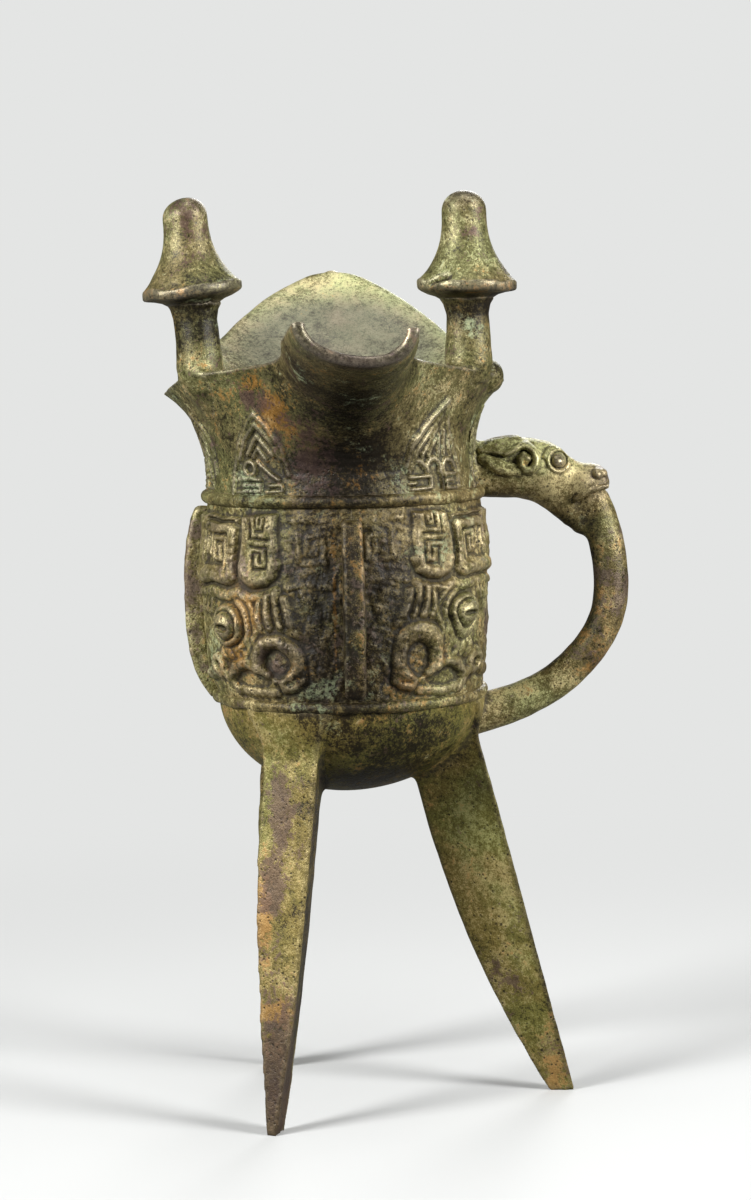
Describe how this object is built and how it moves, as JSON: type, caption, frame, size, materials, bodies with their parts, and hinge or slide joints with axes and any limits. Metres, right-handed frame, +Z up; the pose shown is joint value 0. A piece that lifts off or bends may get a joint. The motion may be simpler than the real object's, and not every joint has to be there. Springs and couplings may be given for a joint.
{
  "type": "bronze tripod wine vessel",
  "caption": "Cast bronze jue wine vessel: round-bottomed cup on blade legs, with spout, tail, capped posts, raised animal masks and a looped handle bitten by an animal head.",
  "frame": {"origin": "middle of the outer box in plan, on the ground that the three legs stand on", "axes": "+Z up; the spout points to -Y and the tail to +Y; the handle points to +X"},
  "size_m": [0.112, 0.158, 0.2128],
  "materials": {
    "cup_bronze": "old cast bronze with olive, ochre and rust brown patina",
    "mouth_bronze": "old cast bronze, olive brown, polished bare along the lip",
    "leg_bronze": "old cast bronze with ochre patina and purple brown stains",
    "post_bronze": "old cast bronze, khaki, rubbed smooth on the knobs",
    "handle_bronze": "old cast bronze, khaki with a pinkish worn bar",
    "flange_bronze": "old cast bronze, brown with pale green crust"
  },
  "bodies": {
    "root": {"cup": "cup_bronze", "upper_border": "cup_bronze", "lower_border": "cup_bronze", "spout": "mouth_bronze", "tail": "mouth_bronze", "left_mouth_wall": "mouth_bronze", "right_mouth_wall": "mouth_bronze", "front_flange": "flange_bronze", "back_flange": "flange_bronze", "left_flange": "flange_bronze", "handle_leg": "leg_bronze", "front_left_leg": "leg_bronze", "back_left_leg": "leg_bronze", "left_post": "post_bronze", "right_post": "post_bronze", "left_post_cap": "post_bronze", "right_post_cap": "post_bronze", "handle_bar": "handle_bronze", "animal_head": "handle_bronze", "head_ears": "handle_bronze", "head_eyes": "handle_bronze", "left_mask_horns": "cup_bronze", "left_mask_eyes": "cup_bronze", "left_mask_jaws": "cup_bronze", "handle_mask_horns": "cup_bronze", "handle_mask_eyes": "cup_bronze", "handle_mask_jaws": "cup_bronze"}
  },
  "joints": []
}
